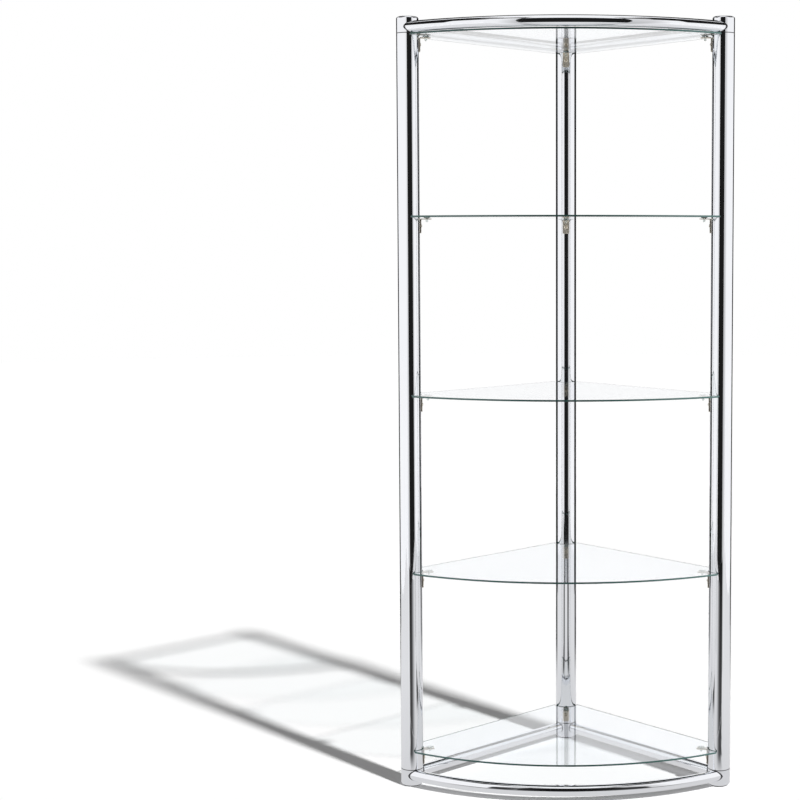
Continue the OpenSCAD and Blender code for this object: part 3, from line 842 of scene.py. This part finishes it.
def setAtSeats(name, part, seats, material):
    points = bpy.data.meshes.new(name + "Seats")
    points.from_pydata([seat.to_translation() for seat in seats], [], [])
    seatTurns = np.array([seat.to_euler() for seat in seats], np.float32)
    turns = points.attributes.new("seatTurn", "FLOAT_VECTOR", "POINT")
    turns.data.foreach_set("vector", seatTurns.ravel())
    drawn = newPiece(name + "Part", part)
    values = {**repeatSizes, "Part": drawn, "Material": finishes[material]}
    mesh = cook(name, repeatTree, values, points)
    bpy.data.objects.remove(drawn)
    return mesh


repeatTree = repeatRecipe()
screwSizes = {
    "head": 0.0048, "rise": 0.003, "rimInset": 0.0001, "rimHeight": 0.0002, "domeSteps": 12,
    "socket": 0.0019, "socketDepth": 0.0019, "socketPoint": 0.4, "socketCorners": 6,
    "lip": 0.0003, "thread": 0.0025, "rootDepth": 0.00035, "pitch": 0.0008, "tail": 0.0076,
    "endTaper": 0.0008, "endLength": 0.0006, "segments": 48}


def screwProfile(s):
    # Round head with a socket, and a shank that ends inside the post; z = 0 is under the head
    head, thread, lip, tail = s["head"], s["thread"], s["lip"], s["tail"]
    profile = [(0, -tail, 0), (thread - s["endTaper"], -tail, 0)]
    z = -tail + s["endLength"]
    while z < -s["pitch"]:
        profile += [(thread, z, 0), (thread - s["rootDepth"], z + s["pitch"] / 2, 0)]
        z += s["pitch"]
    profile += [(thread, 0, 0), (head - s["rimHeight"], 0, 0), (head, s["rimHeight"], 0)]
    domeRadius = (head ** 2 + s["rise"] ** 2) / (2 * s["rise"])
    for i in range(s["domeSteps"] + 1):
        r = head - s["rimInset"] - (head - s["socket"] - lip) * i / s["domeSteps"]
        mouth = s["rise"] - domeRadius + math.sqrt(domeRadius ** 2 - r ** 2)
        profile.append((r, mouth, 0))
    floor = mouth - s["socketDepth"]
    profile += [(s["socket"], mouth - lip, 0), (s["socket"], floor, 1),
                (0, floor - s["socket"] * s["socketPoint"], 1)]
    return profile


screw = turned("screw", screwProfile(screwSizes), (0, 0), False, screwSizes["segments"],
               screwSizes["socketCorners"], screwSizes["socket"])
toScrew = (Matrix.Translation((bracketSizes["thick"], 0, -bracketSizes["screwDrop"]))
           @ Matrix.Rotation(math.pi / 2, 4, "Y"))
seats = [bracketSeat(shelf, side) @ toScrew for shelf in shelves for side in sides]
mesh = setAtSeats("bracketScrews", screw, seats, "satinPlate")
keepPiece("bracketScrewSet", mesh, "bracket_screws")

# The groove's points are (out from the knob, up from the bracket's underside)
padSizes = {
    "rim": 0.008, "hollow": 0.001, "neck": 0.002, "knob": 0.0027, "knobLength": 0.006,
    "knobSteps": 8, "groove": ((0, -0.0022), (-0.0004, -0.0018), (0, -0.0014), (0, -0.0005)),
    "collar": 0.0002, "collarDrop": 0.0001, "neckRise": 0.0003, "neckStop": 0.0001,
    "flare": 0.0003, "cupFrom": 0.0005, "cupLip": 0.0002, "cupLow": 0.15, "cupCurve": 1.3,
    "cupSteps": 8, "rimFlat": 0.0003, "hollowShares": (0.94, 0.8, 0.6, 0.4, 0.2, 0),
    "segments": 48}


def padProfile(s):
    # Knob, neck and cup; z = 0 is the top of the bracket
    under, height = -bracketSizes["thick"], bracketSizes["padHeight"]
    foot, knob, neck, rim = under - s["knobLength"], s["knob"], s["neck"], s["rim"]
    profile = arcPoints((0, foot + knob), knob, -90, 0, s["knobSteps"])
    profile += [(knob + out, under + up) for out, up in s["groove"]]
    profile += [(neck + s["collar"], under - s["collarDrop"]), (neck, under + s["neckRise"]),
                (neck, -s["neckStop"]), (knob + s["flare"], 0)]
    first, low = s["cupFrom"], s["cupLow"]
    for i in range(s["cupSteps"] + 1):
        share = i / s["cupSteps"]
        profile.append((knob + first + (rim - knob - first) * share,
                        (height - s["cupLip"]) * (low + (1 - low) * share ** s["cupCurve"])))
    profile += [(rim, height), (rim - s["rimFlat"], height)]
    profile += [(rim * share, height - s["hollow"] * (1 - share ** 2))
                for share in s["hollowShares"]]
    return [(r, z, 0) for r, z in profile]


pad = turned("pad", padProfile(padSizes), (0, 0), False, padSizes["segments"])
toPad = Matrix.Translation((bracketSizes["padReach"], 0, 0))
for shelf in shelves:
    seats = [bracketSeat(shelf, side) @ toPad for side in sides]
    mesh = setAtSeats("pads_" + shelf, pad.copy(), seats, "padPlastic")
    keepPiece("suctionPads_" + shelf, mesh, "suction_pads_" + shelf)
print("screws and pads set")


# What stays as the frame has it: the fasteners inside the collars
carried = {"clamp_bolts": "zincSteel", "clamp_washers": "zincSteel", "post_plugs": "zincSteel",
           "rail_screws": "zincSteel", "rail_plugs": "plugAlloy"}
for node, name in carried.items():
    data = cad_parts[node].data
    data.materials.clear()
    data.materials.append(finishes[name])
print("fasteners finished:", len(carried))


# Studio: pale floor and a soft key lamp from the front right, all white round about
studio = {
    "floorRadius": 14.0, "floorSides": 96, "floorColour": (0.95, 0.95, 0.95, 1),
    "floorWorn": (0.92, 0.92, 0.92, 1), "floorRoughness": 0.6, "floorGlow": 0.09,
    "panelStrength": 1.0, "ambient": 0.14, "keyStrength": 3.50, "keyAngle": 3.0,
    "keyFrom": (1.03, -1.09, 1.75)}
# What only reflections see, as round a photographer's table: bright cards, dark walls and
# strips. Each has the x and y of its two ends, its span in height and its corners' light
black, cardTop = 0.012, 3.8
panels = {
    "wallFront": ((-1.25, -2.32), (2.05, -2.32), (0, cardTop), black),
    "cardLeft": ((-0.75, -1.04), (-0.41, -1.04), (0, cardTop), (0.95, 0.40, 0.95, 1.0)),
    "cardRight": ((0.57, -1.04), (1.08, -1.04), (0, cardTop), (0.40, 0.95, 1.0, 0.95)),
    "wallRearLeft": ((-1.6, 0.7), (-1.6, 4.5), (0, 2.8), black),
    "wallRearRight": ((1.6, 0.7), (1.6, 4.5), (0, 2.8), black),
    "stripLeft": ((-0.75, -0.95), (-0.385, -1.04), (2.60, 3.3), black),
    "stripLeftTurn": ((-1.1, -0.80), (-0.75, -0.95), (2.45, 3.5), black),
    "stripLeftSide": ((-1.5, 0.2), (-1.1, -0.80), (2.05, 5.0), black),
    "stripRight": ((0.85, -0.95), (0.57, -1.04), (2.60, 3.3), black),
    "stripRightTurn": ((1.1, -0.80), (0.85, -0.95), (2.45, 3.5), black),
    "stripRightSide": ((1.5, 0.2), (1.1, -0.80), (2.05, 5.0), black),
}
canopy = {"near": 0.3, "far": 3.3, "half": 1.6, "height": 3.0}  # black sheet above and behind
# Sheet that only reflections see, just over the floor: painted reflection, light about the shelf,
# with a dark wedge ahead of each front foot and two behind. Wedges are in degrees from straight
# ahead, and from straight behind
mat = {
    "from": (-2.4, -2.3), "to": (2.4, 4.1), "cell": 0.04, "height": 0.0006, "least": 1e-6,
    "near": 0.70, "far": 0.80, "lightOver": 1.4, "lightFrom": -0.1, "foot": (0.354, -0.12),
    "leftWedge": (-14.0, -10.0, 4.0, 45.0), "rightWedge": (-22.0, -18.0, 2.0, 38.0),
    "wedgeFrom": (0.10, 0.28), "wedgeTo": (-0.02, 0.02), "wedgeLight": 0.065,
    "behindFrom": 0.2, "behind": (0.45, 1.1), "behindWedge": (10.0, 20.0, 58.0, 72.0),
    "behindLight": 0.10}
# A dark upright sheet that only reflections see stands ahead of each front foot and carries its
# wedge of painted reflection on. It stands in line with the other foot, which so hardly mirrors it
fence = {"ahead": 0.50, "height": 0.40, "topLight": 0.013, "steps": 16}


def paintFloor(bench, look):
    seen = bench.clamp(bench.ray("Camera") + bench.ray("Glossy") + bench.ray("Transmission"))
    paper = bench.noise(bench.objectPlace(), scale=3.0, detail=3.0)
    paint = bench.surface({
        "Base Color": bench.blend(paper, look["floorColour"], look["floorWorn"]),
        "Roughness": look["floorRoughness"], "Specular IOR Level": 0.0})
    glow = bench.node("ShaderNodeEmission", {
        "Color": (1, 1, 1, 1), "Strength": look["floorGlow"]})
    return bench.either(seen, paint, bench.node("ShaderNodeAddShader", {0: paint, 1: glow}))


def paintPanel(bench, look):
    lit = bench.surface({
        "Base Color": (0, 0, 0, 1), "Roughness": 1.0, "Specular IOR Level": 0.0,
        "Emission Color": bench.attribute("shine", "Color"),
        "Emission Strength": look["panelStrength"]})
    through = bench.clamp(bench.ray("Singular") + bench.attribute("veil"))
    return bench.either(through, lit, bench.clear((1, 1, 1, 1)))


def stagePlane(name, places, faces, shine, material, veil=0.0):
    # A surface that glossy rays alone see, with its light at each point; a veil of 1 lets all
    # of them through
    mesh = bpy.data.meshes.new(name)
    mesh.from_pydata(places, [], faces)
    for attribute, values in (("shine", shine), ("veil", veil)):
        values = np.broadcast_to(np.float32(values), len(places)).copy()
        mesh.attributes.new(attribute, "FLOAT", "POINT").data.foreach_set("value", values)
    mesh.materials.append(material)
    plane = newPiece(name, mesh)
    plane.visible_camera = plane.visible_diffuse = False
    plane.visible_shadow = plane.visible_transmission = False


def ease(first, last, value):
    share = np.clip((value - first) / (last - first), 0, 1)
    return share * share * (3 - 2 * share)


def plateau(limits, value):
    # Rises from 0 to 1 between the first two limits and falls again between the last two
    return ease(limits[0], limits[1], value) * (1 - ease(limits[2], limits[3], value))


def slant(aside, ahead):
    # Degrees away from straight ahead; whatever lies behind is square to it
    return np.degrees(np.arctan2(aside, np.maximum(ahead, mat["least"])))


def matLight(x, y, look):
    # The sheet's painted light at each point; its wedges end at the lines that the fences stand on
    spread = ease(0, look["lightOver"], np.hypot(x, y - look["lightFrom"]))
    light = look["near"] + (look["far"] - look["near"]) * spread
    footX, footY = look["foot"]
    for sign, wedge in ((1, look["leftWedge"]), (-1, look["rightWedge"])):
        aside, ahead = sign * x + footX, footY - y
        beyond = aside / (2 * footX) + ahead / fence["ahead"] - 1
        dark = plateau(wedge, slant(aside, ahead))
        dark = dark * ease(*look["wedgeFrom"], ahead) * (1 - ease(*look["wedgeTo"], beyond))
        light = light + (look["wedgeLight"] - light) * dark
    back = y - look["behindFrom"]
    dark = plateau(look["behindWedge"], slant(np.abs(x), back))
    dark = dark * ease(*look["behind"], np.hypot(x, back))
    return light + (look["behindLight"] - light) * dark


def makeFence(side, sign, wedge, material):
    footX, footY = mat["foot"]
    count = fence["steps"]
    turns = np.linspace(wedge[0], wedge[3], count)
    along = 2 * footX / (2 * footX + fence["ahead"] * np.tan(np.radians(turns)))
    x, y = sign * footX * (1 - 2 * along), footY - fence["ahead"] * along
    z = np.repeat([0, fence["height"]], count)
    places = np.stack([np.tile(x, 2), np.tile(y, 2), z], -1).tolist()
    faces = [(i, i + 1, i + count + 1, i + count) for i in range(count - 1)]
    shine = np.repeat([mat["wedgeLight"], fence["topLight"]], count)
    veil = 1 - np.tile(plateau(wedge, turns), 2)
    stagePlane("fence" + side, places, faces, shine, material, veil)


def makePanels():
    material = newMaterial("reflectionPanel", paintPanel, studio)
    for name, (first, last, (low, high), shine) in panels.items():
        places = [(*first, low), (*last, low), (*last, high), (*first, high)]
        stagePlane(name, places, [(0, 1, 2, 3)], shine, material)
    half, near, far, height = (canopy[name] for name in ("half", "near", "far", "height"))
    places = [(-half, near, height), (half, near, height), (half, far, height),
              (-half, far, height)]
    stagePlane("canopy", places, [(0, 1, 2, 3)], black, material)
    wide, deep = (round((mat["to"][i] - mat["from"][i]) / mat["cell"]) for i in (0, 1))
    x, y = np.meshgrid(mat["from"][0] + mat["cell"] * np.arange(wide + 1),
                       mat["from"][1] + mat["cell"] * np.arange(deep + 1))
    places = np.stack([x, y, np.full_like(x, mat["height"])], -1).reshape(-1, 3).tolist()
    index = np.arange(x.size).reshape(x.shape)
    faces = np.stack([index[:-1, :-1], index[:-1, 1:], index[1:, 1:], index[1:, :-1]], -1)
    faces = faces.reshape(-1, 4).tolist()
    stagePlane("mat", places, faces, matLight(x, y, mat).ravel(), material)
    makeFence("Left", 1, mat["leftWedge"], material)
    makeFence("Right", -1, mat["rightWedge"], material)


def makeFloor(look):
    count = look["floorSides"]
    angles = [math.tau * i / count for i in range(count)]
    rim = [(look["floorRadius"] * math.cos(a), look["floorRadius"] * math.sin(a), 0)
           for a in angles]
    mesh = bpy.data.meshes.new("floor")
    mesh.from_pydata(rim, [], [tuple(range(count))])
    mesh.materials.append(newMaterial("studioFloor", paintFloor, look))
    newPiece("floor", mesh)


def makeLight(look):
    world = bpy.data.worlds.new("studio")
    world.use_nodes = True
    world.node_tree.nodes.clear()
    bench = Bench(world.node_tree)
    scattered = bench.clamp(bench.node("ShaderNodeLightPath", output="Diffuse Depth"))
    level = 1 - scattered * (1 - look["ambient"])
    light = bench.node("ShaderNodeBackground", {"Color": (1, 1, 1, 1), "Strength": level})
    bench.node("ShaderNodeOutputWorld", {"Surface": light})
    scene.world = world
    lamp = bpy.data.lights.new("key", "SUN")
    lamp.energy = look["keyStrength"]
    lamp.angle = math.radians(look["keyAngle"])
    placed = newPiece("key", lamp)
    placed.location = look["keyFrom"]
    placed.rotation_euler = Vector(look["keyFrom"]).to_track_quat("Z", "Y").to_euler()
    placed.visible_glossy = placed.visible_transmission = False


makeFloor(studio)
makePanels()
makeLight(studio)
print("studio lit")
